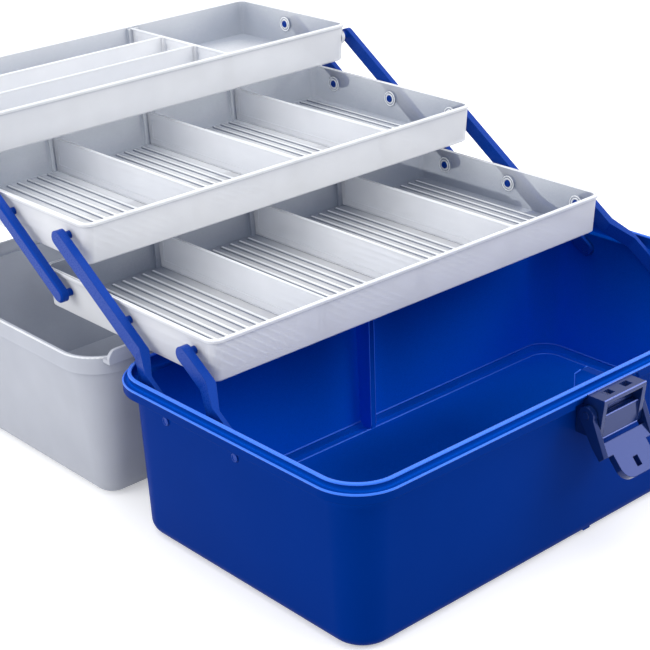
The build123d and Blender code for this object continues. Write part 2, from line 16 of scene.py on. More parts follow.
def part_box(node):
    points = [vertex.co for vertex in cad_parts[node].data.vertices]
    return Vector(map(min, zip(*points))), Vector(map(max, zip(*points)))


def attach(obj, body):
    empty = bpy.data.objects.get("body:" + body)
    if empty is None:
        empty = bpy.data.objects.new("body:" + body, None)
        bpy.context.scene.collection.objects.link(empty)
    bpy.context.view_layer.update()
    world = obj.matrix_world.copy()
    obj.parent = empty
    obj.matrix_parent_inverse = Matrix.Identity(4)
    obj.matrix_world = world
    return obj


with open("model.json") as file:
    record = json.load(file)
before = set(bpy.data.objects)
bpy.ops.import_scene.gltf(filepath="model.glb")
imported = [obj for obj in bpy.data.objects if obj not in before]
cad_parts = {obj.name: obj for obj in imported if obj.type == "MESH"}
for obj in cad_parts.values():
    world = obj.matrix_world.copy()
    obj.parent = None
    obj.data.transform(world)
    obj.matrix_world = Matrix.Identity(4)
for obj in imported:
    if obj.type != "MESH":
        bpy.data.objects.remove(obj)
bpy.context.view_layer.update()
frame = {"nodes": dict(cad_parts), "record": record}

MM = 0.001
scene = bpy.context.scene
nodes = frame["nodes"]

# %% [markdown]
# ## The camera
# A camera has a place, three turns and a lens. They were solved from lines of the photograph
# whose real directions are known, so the render lines up with it. It could also be placed by
# eye, but then no size read from the photograph would be safe. The small shift is there because
# the photograph was cropped off its own centre.

# %% Camera
FRAME_PX = 650
SENSOR_MM = 36
FOCAL_PX = 1674.57
CENTRE_PX = (293.06, 346.41)
CAMERA_AT = Vector((-679.85, -640.80, 518.47)) * MM
YAW, PITCH, ROLL = radians(40.161), radians(24.489), radians(-2.516)

ahead = Vector((sin(YAW) * cos(PITCH), cos(YAW) * cos(PITCH), -sin(PITCH)))
level_right = Vector((cos(YAW), -sin(YAW), 0))
level_up = level_right.cross(ahead)
camera_right = level_right * cos(ROLL) + level_up * sin(ROLL)
camera_up = level_up * cos(ROLL) - level_right * sin(ROLL)

camera_data = bpy.data.cameras.new("photo_camera")
camera = bpy.data.objects.new("photo_camera", camera_data)
scene.collection.objects.link(camera)
turn = Matrix((camera_right, camera_up, -ahead)).transposed()
camera.matrix_world = Matrix.Translation(CAMERA_AT) @ turn.to_4x4()
camera_data.sensor_width = SENSOR_MM
camera_data.lens = FOCAL_PX / FRAME_PX * SENSOR_MM
camera_data.shift_x = (FRAME_PX / 2 - CENTRE_PX[0]) / FRAME_PX
camera_data.shift_y = (CENTRE_PX[1] - FRAME_PX / 2) / FRAME_PX
camera_data.clip_start = 0.01
camera_data.clip_end = 50
scene.camera = camera
print("lens mm:", round(camera_data.lens, 2),
      "shift:", round(camera_data.shift_x, 4), round(camera_data.shift_y, 4))

# %% [markdown]
# ## Two small helpers
# Colours are written as the sRGB hex values that a picture editor shows. The shader wants
# linear light, so one function turns them. Another adds a node with its settings and links,
# which keeps each material below short enough to read.

# %% Helpers for colours and nodes
def linear(hex_colour):
    """An sRGB hex colour as linear light, with a full alpha."""
    values = [int(hex_colour[i:i + 2], 16) / 255 for i in (1, 3, 5)]
    return tuple(v / 12.92 if v <= 0.04045 else ((v + 0.055) / 1.055) ** 2.4 for v in values) + (1.0,)


def add_node(tree, kind, settings=None, inputs=None, links=None):
    """Adds a node, sets its properties and sockets, and links sockets from other nodes."""
    node = tree.nodes.new(kind)
    for name, value in (settings or {}).items():
        setattr(node, name, value)
    for name, value in (inputs or {}).items():
        node.inputs[name].default_value = value
    for name, socket in (links or {}).items():
        tree.links.new(socket, node.inputs[name])
    return node


def new_material(name):
    """A material with an empty node tree."""
    material = bpy.data.materials.new(name)
    material.use_nodes = True
    material.node_tree.nodes.clear()
    return material, material.node_tree


print("tub blue in linear light:", [round(v, 4) for v in linear("#002c80")])

# %% [markdown]
# ## The studio
# The photograph is a plain cut-out on white. More light on a pale floor would also whiten it,
# but would wash out the box. So the floor and the world show plain white only to the camera and
# to mirror-like and see-through rays. To scattered light they are pale surroundings, and the
# floor keeps the box's soft shadow.

# %% World and floor
FLOOR_HALF = 6.0
FLOOR_DROP = 0.4 * MM


def seen_straight(tree):
    """One for a camera, mirror or see-through ray, and nought for scattered light."""
    path = add_node(tree, "ShaderNodeLightPath")
    mirror = add_node(tree, "ShaderNodeMath", {"operation": "MAXIMUM"},
                      links={0: path.outputs["Is Glossy Ray"], 1: path.outputs["Is Transmission Ray"]})
    either = add_node(tree, "ShaderNodeMath", {"operation": "MAXIMUM"},
                      links={0: path.outputs["Is Camera Ray"], 1: mirror.outputs[0]})
    return either.outputs[0]


world = bpy.data.worlds.new("studio")
scene.world = world
world.use_nodes = True
tree = world.node_tree
tree.nodes.clear()
dome = add_node(tree, "ShaderNodeBackground", inputs={"Color": linear("#f8f9fb"), "Strength": 1.0})
white = add_node(tree, "ShaderNodeBackground", inputs={"Color": linear("#ffffff"), "Strength": 1.0})
mixed = add_node(tree, "ShaderNodeMixShader",
                 links={0: seen_straight(tree), 1: dome.outputs[0], 2: white.outputs[0]})
add_node(tree, "ShaderNodeOutputWorld", links={"Surface": mixed.outputs[0]})

paper, tree = new_material("matte white paper sweep")
sheet = add_node(tree, "ShaderNodeBsdfDiffuse", inputs={"Color": linear("#efefef")})
glow = add_node(tree, "ShaderNodeEmission", inputs={"Color": linear("#ffffff"), "Strength": 0.35})
lit = add_node(tree, "ShaderNodeAddShader", links={0: sheet.outputs[0], 1: glow.outputs[0]})
plain = add_node(tree, "ShaderNodeBsdfDiffuse", inputs={"Color": linear("#dddddd")})
surface = add_node(tree, "ShaderNodeMixShader",
                   links={0: seen_straight(tree), 1: plain.outputs[0], 2: lit.outputs[0]})
add_node(tree, "ShaderNodeOutputMaterial", links={"Surface": surface.outputs[0]})

floor_mesh = bpy.data.meshes.new("floor")
corners = [(x * FLOOR_HALF, y * FLOOR_HALF, 0) for x, y in ((-1, -1), (1, -1), (1, 1), (-1, 1))]
floor_mesh.from_pydata(corners, [], [(0, 1, 2, 3)])
floor_mesh.materials.append(paper)
floor = bpy.data.objects.new("floor", floor_mesh)
floor.location.z = -FLOOR_DROP
scene.collection.objects.link(floor)
scene.view_settings.view_transform = "Standard"
print("white surroundings, floor at", round(floor.location.z, 5))

# %% [markdown]
# ## Three soft boxes
# A maker of product pictures lights glossy plastic with large soft boxes, because a small lamp
# would leave hard spots. The main one stands to the left, behind the trays, a wide one hangs
# above, and one stands in front to the right. They are weak enough that the milky trays keep
# their greys and don't turn plain white.

# %% Lamps
LAMPS_LOOK_AT = Vector((0, 0.1, 0.1))


def lamp(name, place, size, watts):
    """A square soft box that looks at the middle of the tackle box."""
    data = bpy.data.lights.new(name, "AREA")
    data.size = size
    data.energy = watts
    thing = bpy.data.objects.new(name, data)
    scene.collection.objects.link(thing)
    thing.location = place
    thing.rotation_euler = (LAMPS_LOOK_AT - Vector(place)).to_track_quat("-Z", "Y").to_euler()


lamp("soft_box_left", (-2.2, 0.9, 0.9), 1.4, 22)
lamp("soft_box_top", (0.1, 0.2, 2.3), 2.4, 23)
lamp("soft_box_front", (1.4, -1.6, 1.45), 1.4, 24)

# %% [markdown]
# ## Blue and navy moulded plastic
# The tub, arms and handle are injection moulded polypropylene, and the latch is acetal. Their
# skin copies a polished steel mould: it has a shallow waviness from shrinkage and a fine
# spark-eroded grain. That grain is finer than a pixel here, so it is drawn 0.6 mm wide to show.
# Every moulded edge has a small radius that catches the light, and the Bevel node bends the
# shading there as such a radius does.
#
# Inside the tub the blue bounces off itself and looks brighter and purer than outside. More
# bounces of light could show that, at the cost of noise. Here an Ambient Occlusion node measures
# how enclosed a spot is, and blends in a brighter blue. The white surroundings would lay a grey
# veil over a dark blue, so its gloss is weak and tinted.

# %% Material of the tub, arms and latch
PLASTIC_IOR = 1.49
GRAIN_DEPTH = 0.003 * MM
COLOUR_DRIFT, SHRINK_WAVE, SPARK_GRAIN = 60 * MM, 35 * MM, 0.6 * MM
TUB_REACH = 150 * MM


def moulded_plastic(name, colour, drifted, inside, gloss, gloss_tint, roughness, wave_mm, edge_mm):
    """Opaque moulded plastic: slow colour drift, fine grain, slight waviness, soft edges and painted bounce
    light where enclosed.
    """
    material, tree = new_material(name)
    place = add_node(tree, "ShaderNodeTexCoord").outputs["Object"]
    drift = add_node(tree, "ShaderNodeTexNoise", inputs={"Scale": 1 / COLOUR_DRIFT, "Detail": 2.0},
                     links={"Vector": place})
    outer = add_node(tree, "ShaderNodeMix", {"data_type": "RGBA"},
                     inputs={6: linear(drifted), 7: linear(colour)}, links={0: drift.outputs["Fac"]})
    # Painted bounce light: where the AO node finds a spot enclosed, the colour blends to the brighter inside
    # colour
    openness = add_node(tree, "ShaderNodeAmbientOcclusion", {"samples": 8, "only_local": True},
                        inputs={"Distance": TUB_REACH})
    shade = add_node(tree, "ShaderNodeMapRange", inputs={"From Min": 0.3, "From Max": 0.8},
                     links={"Value": openness.outputs["AO"]})
    painted_bounce_blend = add_node(tree, "ShaderNodeMix", {"data_type": "RGBA"}, inputs={6: linear(inside)},
                    links={0: shade.outputs[0], 7: outer.outputs[2]})
    grain = add_node(tree, "ShaderNodeTexNoise", inputs={"Scale": 1 / SPARK_GRAIN, "Detail": 3.0},
                     links={"Vector": place})
    shine = add_node(tree, "ShaderNodeMapRange",
                     inputs={"From Min": 0.3, "From Max": 0.7,
                             "To Min": roughness - 0.03, "To Max": roughness + 0.04},
                     links={"Value": grain.outputs["Fac"]})
    edge = add_node(tree, "ShaderNodeBevel", {"samples": 6}, inputs={"Radius": edge_mm * MM})
    slow = add_node(tree, "ShaderNodeTexNoise", inputs={"Scale": 1 / SHRINK_WAVE, "Detail": 1.0},
                    links={"Vector": place})
    wavy = add_node(tree, "ShaderNodeBump", inputs={"Strength": 1.0, "Distance": wave_mm * MM},
                    links={"Height": slow.outputs["Fac"], "Normal": edge.outputs["Normal"]})
    fine = add_node(tree, "ShaderNodeBump", inputs={"Strength": 1.0, "Distance": GRAIN_DEPTH},
                    links={"Height": grain.outputs["Fac"], "Normal": wavy.outputs["Normal"]})
    skin = add_node(tree, "ShaderNodeBsdfPrincipled",
                    inputs={"IOR": PLASTIC_IOR, "Specular IOR Level": gloss,
                            "Specular Tint": linear(gloss_tint)},
                    links={"Base Color": painted_bounce_blend.outputs[2], "Roughness": shine.outputs[0],
                           "Normal": fine.outputs["Normal"]})
    add_node(tree, "ShaderNodeOutputMaterial", links={"Surface": skin.outputs[0]})
    return material


# Broad walls: a soft sheen and a slow waviness
blue_pp = moulded_plastic("blue polypropylene, injection moulded", "#002c80", "#002876", "#0466ea",
                          gloss=0.012, gloss_tint="#4d86ff", roughness=0.36, wave_mm=0.2, edge_mm=0.8)
# Slim arms: stiffer, flatter and a little shinier
arm_pp = moulded_plastic("blue polypropylene arm, injection moulded", "#0a3894", "#08348a", "#0a3ea2",
                         gloss=0.3, gloss_tint="#4d86ff", roughness=0.28, wave_mm=0.04, edge_mm=0.6)
# Thin rounded edges: a paler blue than the tub, a painted highlight along each edge
blue_painted_highlight = moulded_plastic("blue polypropylene bead, painted highlight", "#4078e8", "#3870de", "#5c90f8",
                              gloss=0.7, gloss_tint="#4d86ff", roughness=0.2, wave_mm=0.02, edge_mm=0.2)
# The latch: a harder, smoother plastic with a crisp sheen
navy_acetal = moulded_plastic("navy acetal, injection moulded", "#0c2254", "#0a1e4a", "#0c2254",
                              gloss=0.8, gloss_tint="#8ca0ff", roughness=0.2, wave_mm=0.04, edge_mm=0.5)
# The bracket's lips: a pale navy, a painted highlight along each lip
navy_painted_highlight = moulded_plastic("navy acetal lip, painted highlight", "#6878c0", "#6070b8", "#6878c0",
                            gloss=0.8, gloss_tint="#b8c4ff", roughness=0.2, wave_mm=0.02, edge_mm=0.2)
print("made:", [m.name for m in (blue_pp, arm_pp, blue_painted_highlight, navy_acetal, navy_painted_highlight)])

# %% [markdown]
# ## Milky polypropylene
# The lid and trays have no pigment. Natural polypropylene scatters light in its crystals, so
# it looks milky. Walls that face open air gather light from all round and look nearly white,
# while the insides gather less and look grey. An Ambient Occlusion node measures how open each
# spot is, and blends an inside grey to an outside white. Real scattering inside the wall would
# show this too, but walls this thin take very many samples. So a Translucent shader lets light
# through them, and a see-through share shows what lies close behind.

# %% Material of the lid, trays and dividers
MILKY_GRAIN, MILKY_CLOUD = 0.8 * MM, 45 * MM
CLOUD_SWING = 0.04


def milky_plastic(name, outside, inside, reach_mm, enclosed, open_air, through, clearness):
    """Natural polypropylene: part clear, part scattering, with a painted grey shade where the air is
    enclosed.
    """
    material, tree = new_material(name)
    place = add_node(tree, "ShaderNodeTexCoord").outputs["Object"]
    # Painted shade: where the AO node finds the air enclosed, the colour blends from the outside white to
    # the inside grey
    openness = add_node(tree, "ShaderNodeAmbientOcclusion", {"samples": 8, "only_local": True},
                        inputs={"Distance": reach_mm * MM})
    shade = add_node(tree, "ShaderNodeMapRange", inputs={"From Min": enclosed, "From Max": open_air},
                     links={"Value": openness.outputs["AO"]})
    colour = add_node(tree, "ShaderNodeMix", {"data_type": "RGBA"},
                      inputs={6: linear(inside), 7: linear(outside)}, links={0: shade.outputs[0]})
    grain = add_node(tree, "ShaderNodeTexNoise", inputs={"Scale": 1 / MILKY_GRAIN, "Detail": 3.0},
                     links={"Vector": place})
    bump = add_node(tree, "ShaderNodeBump", inputs={"Strength": 1.0, "Distance": GRAIN_DEPTH},
                    links={"Height": grain.outputs["Fac"]})
    glow = add_node(tree, "ShaderNodeBsdfTranslucent",
                    links={"Color": colour.outputs[2], "Normal": bump.outputs["Normal"]})
    front = add_node(tree, "ShaderNodeBsdfPrincipled",
                     inputs={"IOR": PLASTIC_IOR, "Roughness": 0.42, "Specular IOR Level": 0.25},
                     links={"Base Color": colour.outputs[2], "Normal": bump.outputs["Normal"]})
    body = add_node(tree, "ShaderNodeMixShader", inputs={0: through},
                    links={1: front.outputs[0], 2: glow.outputs[0]})
    clear = add_node(tree, "ShaderNodeBsdfTransparent", inputs={"Color": linear("#eef1f6")})
    cloud = add_node(tree, "ShaderNodeTexNoise", inputs={"Scale": 1 / MILKY_CLOUD, "Detail": 2.0},
                     links={"Vector": place})
    amount = add_node(tree, "ShaderNodeMapRange",
                      inputs={"From Min": 0.3, "From Max": 0.7,
                              "To Min": clearness - CLOUD_SWING, "To Max": clearness + CLOUD_SWING},
                      links={"Value": cloud.outputs["Fac"]})
    surface = add_node(tree, "ShaderNodeMixShader",
                       links={0: amount.outputs[0], 1: body.outputs[0], 2: clear.outputs[0]})
    add_node(tree, "ShaderNodeOutputMaterial", links={"Surface": surface.outputs[0]})
    return material


# Trays: thin walls, nearly white outside and a painted grey shade between the walls
tray_pp = milky_plastic("natural polypropylene tray, injection moulded", "#fbfbfc", "#9ba2b0",
                        reach_mm=60, enclosed=0.6, open_air=0.95, through=0.05, clearness=0.36)
# Dividers: plates with air on both sides, so their painted shade is faint and they stay pale
divider_pp = milky_plastic("natural polypropylene divider, injection moulded", "#fcfcfd", "#f4f5f8",
                           reach_mm=60, enclosed=0.3, open_air=0.8, through=0.1, clearness=0.34)
# Rounded edges: the most plastic in the line of sight, so the least see-through, and only a faint painted
# shade, so the whitest
pale_pp = milky_plastic("natural polypropylene bead, injection moulded", "#fafcff", "#e4e8f0",
                        reach_mm=20, enclosed=0.2, open_air=0.7, through=0.1, clearness=0.1)
# Lid: a thicker wall that lets less light through, with a painted grey shade inside
lid_pp = milky_plastic("natural polypropylene lid, injection moulded", "#d2d5de", "#9aa1b2",
                       reach_mm=120, enclosed=0.45, open_air=0.9, through=0.2, clearness=0.25)
print("made:", [m.name for m in (tray_pp, divider_pp, pale_pp, lid_pp)])

# %% [markdown]
# ## Drawn steel wire
# The hinge pins are cut from bright drawn wire. Drawing leaves fine scratches along the wire,
# here along X, so the noise is stretched that way. Real scratches are a few hundredths of a
# millimetre wide. They are drawn 0.3 mm wide to show.

# %% Material of the pins
SCRATCH_WIDTH = 0.3 * MM
ALONG_THE_WIRE = (0.05, 1, 1)

steel, tree = new_material("bright drawn steel wire")
place = add_node(tree, "ShaderNodeTexCoord").outputs["Object"]
along = add_node(tree, "ShaderNodeMapping", inputs={"Scale": ALONG_THE_WIRE}, links={"Vector": place})
scratch = add_node(tree, "ShaderNodeTexNoise", inputs={"Scale": 1 / SCRATCH_WIDTH, "Detail": 2.0},
                   links={"Vector": along.outputs[0]})
shine = add_node(tree, "ShaderNodeMapRange", inputs={"To Min": 0.22, "To Max": 0.38},
                 links={"Value": scratch.outputs["Fac"]})
metal = add_node(tree, "ShaderNodeBsdfPrincipled", inputs={"Base Color": linear("#b9bcc2"), "Metallic": 1.0},
                 links={"Roughness": shine.outputs[0]})
add_node(tree, "ShaderNodeOutputMaterial", links={"Surface": metal.outputs[0]})
print("made:", steel.name)

# %% [markdown]
# ## Smooth shading for the solids
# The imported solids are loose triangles, and would look faceted. Splitting and smoothing their
# meshes would do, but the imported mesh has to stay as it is. So a modifier does it: a small
# Geometry Nodes tree joins the doubles and shades all smooth, but keeps sharp every edge that
# bends more than a set angle. Two helpers start a tree and fill in a modifier's inputs.

# %% Shading tree
SHARP_ANGLE = radians(28)
WELD = 0.002 * MM
KINDS = {"Float": "NodeSocketFloat", "Count": "NodeSocketInt", "Vector": "NodeSocketVector",
         "Material": "NodeSocketMaterial", "Geometry": "NodeSocketGeometry"}


def start_tree(name, sizes):
    """A tree with named inputs and one geometry output. Returns the tree and its inputs."""
    tree = bpy.data.node_groups.new(name, "GeometryNodeTree")
    for label, kind in sizes.items():
        tree.interface.new_socket(label, in_out="INPUT", socket_type=KINDS[kind])
    tree.interface.new_socket("Geometry", in_out="OUTPUT", socket_type=KINDS["Geometry"])
    return tree, add_node(tree, "NodeGroupInput").outputs


def set_inputs(modifier, values):
    """Sets a tree's named inputs on its modifier, which knows them by identifier."""
    for item in modifier.node_group.interface.items_tree:
        if item.in_out == "INPUT" and item.name in values:
            modifier[item.identifier] = values[item.name]


smooth_tree, given = start_tree("smooth_by_angle", {"Geometry": "Geometry", "Sharp angle": "Float"})
merged = add_node(smooth_tree, "GeometryNodeMergeByDistance", inputs={"Distance": WELD},
                  links={"Geometry": given["Geometry"]})
smooth = add_node(smooth_tree, "GeometryNodeSetShadeSmooth", {"domain": "FACE"},
                  links={"Geometry": merged.outputs[0]})
angle = add_node(smooth_tree, "GeometryNodeInputMeshEdgeAngle")
sharp = add_node(smooth_tree, "FunctionNodeCompare", {"data_type": "FLOAT", "operation": "GREATER_THAN"},
                 links={0: angle.outputs["Unsigned Angle"], 1: given["Sharp angle"]})
keep = add_node(smooth_tree, "GeometryNodeSetShadeSmooth", {"domain": "EDGE"}, {"Shade Smooth": False},
                {"Geometry": smooth.outputs[0], "Selection": sharp.outputs[0]})
add_node(smooth_tree, "NodeGroupOutput", links={0: keep.outputs[0]})
print("tree:", smooth_tree.name, "nodes:", len(smooth_tree.nodes))

# %% [markdown]
# ## Dressing the solids
# Each solid carries a slot name from the record, such as tub_plastic. A table says which finish
# each slot gets. The latch's pin is the one exception: it is moulded in the latch's navy.

# %% Finishes on the solids
finishes = {
    "tub_plastic": blue_pp, "handle_plastic": blue_pp, "arm_plastic": arm_pp, "rivet_plastic": arm_pp,
    "latch_plastic": navy_acetal, "lid_plastic": lid_pp, "tray_plastic": tray_pp,
    "divider_plastic": divider_pp, "steel": steel,
}
slot_of = {row["node"]: row["material_slot"] for row in frame["record"]["subparts"]}
for name, thing in nodes.items():
    for spot in thing.material_slots:
        spot.material = navy_acetal if name == "latch_pin" else finishes[slot_of[name]]
    shading = thing.modifiers.new("smooth_by_angle", "NODES")
    shading.node_group = smooth_tree
    set_inputs(shading, {"Sharp angle": SHARP_ANGLE})
print("dressed:", len(nodes))

# %% [markdown]
# ## Growing pieces with Geometry Nodes
# Beads, ribs and rings repeat, or follow a path. Each could be built vertex by vertex, but a
# tree of nodes keeps its sizes in view as named inputs. All of them sweep a small circle along
# a path, so one helper does that. Another ends a tree by turning its copies into real geometry
# with a material. The last runs a tree as often as a piece needs, joins the runs to a plain
# mesh and lets it ride a body of the box.

# %% Helpers for trees and pieces
def sweep(tree, path, radius, sides, capped=False):
    """Sweeps a circle along a path."""
    section = add_node(tree, "GeometryNodeCurvePrimitiveCircle", inputs={"Resolution": sides},
                       links={"Radius": radius})
    swept = add_node(tree, "GeometryNodeCurveToMesh", inputs={"Fill Caps": capped},
                     links={"Curve": path, "Profile Curve": section.outputs[0]})
    return swept.outputs[0]


def end_tree(tree, shape, material):
    """Smooth shading, real copies, a material, and the way out."""
    rounded = add_node(tree, "GeometryNodeSetShadeSmooth", links={"Geometry": shape})
    real = add_node(tree, "GeometryNodeRealizeInstances", links={"Geometry": rounded.outputs[0]})
    dressed = add_node(tree, "GeometryNodeSetMaterial",
                       links={"Geometry": real.outputs[0], "Material": material})
    add_node(tree, "NodeGroupOutput", links={0: dressed.outputs[0]})
    print("tree:", tree.name, "nodes:", len(tree.nodes))


def grow(name, body, tree, runs):
    """Runs a tree once for each set of values and joins the results to one plain mesh."""
    piece = bpy.data.objects.new(name, bpy.data.meshes.new(name))
    scene.collection.objects.link(piece)
    joined = bmesh.new()
    for values in runs:
        step = piece.modifiers.new(tree.name, "NODES")
        step.node_group = tree
        set_inputs(step, values)
        seen = piece.evaluated_get(bpy.context.evaluated_depsgraph_get())
        mesh = bpy.data.meshes.new_from_object(seen)
        joined.from_mesh(mesh)
        bpy.data.meshes.remove(mesh)
        piece.modifiers.remove(step)
    bmesh.ops.recalc_face_normals(joined, faces=joined.faces)
    for face in joined.faces:
        face.material_index = 0
    joined.to_mesh(piece.data)
    joined.free()
    piece.data.materials.append(runs[0]["Material"])
    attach(piece, body)
    print(name, "on", body, "faces:", len(piece.data.polygons))


# %% [markdown]
# ## Rounded beads along the rims
# The mouth of the tub ends in a small rounded bead, and so do the step below it, the rims of
# the trays and the rim of the lid. On the real box the mould's rounded edges make them. A bevel
# on the solids could, too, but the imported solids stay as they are. The tree rounds the corners
# of a rectangle and sweeps a small circle along it.

# %% Tree: bead along a rim
CORNER_STEPS = 14
rim_tree, given = start_tree("bead_along_rim", {
    "Length": "Float", "Width": "Float", "Corner": "Float", "Bead radius": "Float",
    "Centre": "Vector", "Material": "Material"})
outline = add_node(rim_tree, "GeometryNodeCurvePrimitiveQuadrilateral",
                   links={"Width": given["Length"], "Height": given["Width"]})
rounded = add_node(rim_tree, "GeometryNodeFilletCurve", {"mode": "POLY"}, {"Count": CORNER_STEPS},
                   {"Curve": outline.outputs[0], "Radius": given["Corner"]})
bead = sweep(rim_tree, rounded.outputs[0], given["Bead radius"], 10)
placed = add_node(rim_tree, "GeometryNodeTransform",
                  links={"Geometry": bead, "Translation": given["Centre"]})
end_tree(rim_tree, placed.outputs[0], given["Material"])

# %% [markdown]
# ## Beads on the tub, the lid and the trays
# All sizes are in millimetres. The tub's beads follow the outline of its rim at a distance,
# outwards or inwards, so they are given that way: two on the lip, one on the step, and two
# faint ones where the walls meet the floor and round its raised panel. The trays' beads read
# the box of their solid, one for the outer edge of the rim and one for the inner.

# %% Beads on the tub, the lid and the trays
RIM_LENGTH, RIM_WIDTH = 380.0, 207.8
TRAYS = ("tray_bottom", "tray_middle", "tray_top")


def tub_bead(outwards, corner, radius, height):
    """Values for a bead at a distance outside the tub's rim, or inside it if negative."""
    return {"Length": (RIM_LENGTH + 2 * outwards) * MM, "Width": (RIM_WIDTH + 2 * outwards) * MM,
            "Corner": corner * MM, "Bead radius": radius * MM, "Centre": (0, 0, height * MM),
            "Material": blue_painted_highlight}


def tray_bead(tray, inwards, corner, radius, drop):
    """Values for a bead on a tray's rim, in from its sides and down from its top."""
    low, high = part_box(tray)
    return {"Length": high[0] - low[0] - 2 * inwards * MM, "Width": high[1] - low[1] - 2 * inwards * MM,
            "Corner": corner * MM, "Bead radius": radius * MM,
            "Centre": ((low[0] + high[0]) / 2, (low[1] + high[1]) / 2, high[2] - drop * MM),
            "Material": pale_pp}


# The tub's beads, on the rim and on the floor, are in the paler blue: a painted highlight on their rounded
# edges
grow("tub_rim_beads", "base", rim_tree, [
    tub_bead(0.5, 25.5, 0.75, 105.4),
    tub_bead(-0.5, 24.5, 0.75, 105.4),
    tub_bead(4.0, 29.0, 0.7, 101.2)])
grow("tub_floor_beads", "base", rim_tree, [
    tub_bead(-8.5, 17.5, 0.6, 6.0),
    tub_bead(-18.0, 14.5, 0.85, 3.2)])
grow("lid_rim_beads", "lid", rim_tree, [
    {"Length": 388.0 * MM, "Width": 216.5 * MM, "Corner": 28.0 * MM, "Bead radius": 0.6 * MM,
     "Centre": (0, 230.65 * MM, 102.8 * MM), "Material": pale_pp}])
for tray in TRAYS:
    grow(tray + "_rim_beads", tray, rim_tree, [
        tray_bead(tray, 0.5, 7.1, 0.55, 0.35),
        tray_bead(tray, 2.4, 5.2, 0.35, 0.15)])

# %% [markdown]
# ## Frames round the dividers
# A divider is a thin plate with a thicker frame, which looks whiter because more plastic
# scatters more light. The tree draws the plate's outline, a trapezoid because the tray's walls
# lean, sweeps a small circle along it and stands it upright.

# %% Tree: bead round a divider
frame_tree, given = start_tree("bead_round_divider", {
    "Bottom width": "Float", "Top width": "Float", "Height": "Float", "Offset": "Float",
    "Bead radius": "Float", "Turn": "Vector", "Centre": "Vector", "Material": "Material"})
outline = add_node(frame_tree, "GeometryNodeCurvePrimitiveQuadrilateral", {"mode": "TRAPEZOID"},
                   links={"Bottom Width": given["Bottom width"], "Top Width": given["Top width"],
                          "Height": given["Height"], "Offset": given["Offset"]})
bead = sweep(frame_tree, outline.outputs[0], given["Bead radius"], 8)
placed = add_node(frame_tree, "GeometryNodeTransform",
                  links={"Geometry": bead, "Rotation": given["Turn"], "Translation": given["Centre"]})
end_tree(frame_tree, placed.outputs[0], given["Material"])

# %% [markdown]
# ## Frames in the three trays
# Each frame takes its size and place from the box of its divider's solid. A cross divider
# leans outwards at both ends. A lengthwise one in the top tray leans only at the end that
# meets the tray's wall, because its other end meets the upright cross divider.

# %% Frames in the three trays
LEAN = 1.69 * MM
FRAME_RADIUS = 1.0 * MM


def divider_frame(divider):
    """Values for the frame of one divider, read from the box of its solid."""
    low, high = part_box(divider)
    size = [b - a for a, b in zip(low, high)]
    centre = [(a + b) / 2 for a, b in zip(low, high)]
    lengthwise = size[0] > size[1]
    top = size[0] if lengthwise else size[1]
    return {"Bottom width": top - LEAN * (1 if lengthwise else 2), "Top width": top, "Height": size[2],
            "Offset": -LEAN / 2 if lengthwise else 0.0, "Bead radius": FRAME_RADIUS, "Centre": centre,
            "Turn": (pi / 2, 0, 0) if lengthwise else (pi / 2, 0, pi / 2), "Material": pale_pp}


for tray in TRAYS:
    dividers = [name for name in nodes if name.startswith(tray + "_") and "divider" in name]
    grow(tray + "_divider_frames", tray, frame_tree,
         [divider_frame(name) for name in dividers])

# %% [markdown]
# ## Ribs on the tray floors
# Each compartment has nine low ribs from front to back, so small things are easy to pick up.
# They are what this box repeats most. An array modifier would do for one compartment, but the
# compartments differ in length. The tree sweeps one flattened rod and copies it to points on a
# line from the first rib's place to the last one's.

# %% Tree: ribs in a row
rib_tree, given = start_tree("ribs_in_a_row", {
    "First": "Vector", "Last": "Vector", "Count": "Count", "Rib width": "Float",
    "Rib height": "Float", "Rib length": "Float", "Material": "Material"})
to_back = add_node(rib_tree, "ShaderNodeMath", {"operation": "MULTIPLY"}, {1: 0.5},
                   {0: given["Rib length"]})
to_front = add_node(rib_tree, "ShaderNodeMath", {"operation": "MULTIPLY"}, {1: -0.5},
                    {0: given["Rib length"]})
back_end = add_node(rib_tree, "ShaderNodeCombineXYZ", links={"Y": to_back.outputs[0]})
front_end = add_node(rib_tree, "ShaderNodeCombineXYZ", links={"Y": to_front.outputs[0]})
path = add_node(rib_tree, "GeometryNodeCurvePrimitiveLine",
                links={"Start": front_end.outputs[0], "End": back_end.outputs[0]})
half_width = add_node(rib_tree, "ShaderNodeMath", {"operation": "MULTIPLY"}, {1: 0.5},
                      {0: given["Rib width"]})
round_rib = sweep(rib_tree, path.outputs[0], half_width.outputs[0], 12, capped=True)
flatness = add_node(rib_tree, "ShaderNodeMath", {"operation": "DIVIDE"},
                    links={0: given["Rib height"], 1: half_width.outputs[0]})
flatten = add_node(rib_tree, "ShaderNodeCombineXYZ", inputs={"X": 1.0, "Y": 1.0},
                   links={"Z": flatness.outputs[0]})
low_rib = add_node(rib_tree, "GeometryNodeTransform",
                   links={"Geometry": round_rib, "Scale": flatten.outputs[0]})
row = add_node(rib_tree, "GeometryNodeMeshLine", {"mode": "END_POINTS"},
               links={"Count": given["Count"], "Start Location": given["First"], "Offset": given["Last"]})
copies = add_node(rib_tree, "GeometryNodeInstanceOnPoints",
                  links={"Points": row.outputs[0], "Instance": low_rib.outputs[0]})
end_tree(rib_tree, copies.outputs[0], given["Material"])

# %% [markdown]
# ## Rows of ribs in the two divided trays
# The compartments lie between the tray's inner end walls and its three dividers. Each row
# leaves a margin at both sides, so no rib touches a divider. The ribs' round tops show above
# the floor, and their lower halves are sunk in it.

# %% Rows of ribs in the two divided trays
INNER_HALF = 163.53 * MM
MARGIN = 6 * MM
RIBS = 9
RIB = {"Count": RIBS, "Rib width": 3.0 * MM, "Rib height": 0.85 * MM, "Rib length": 153.8 * MM,
       "Material": pale_pp}
TRAY_FLOOR = 1.8 * MM

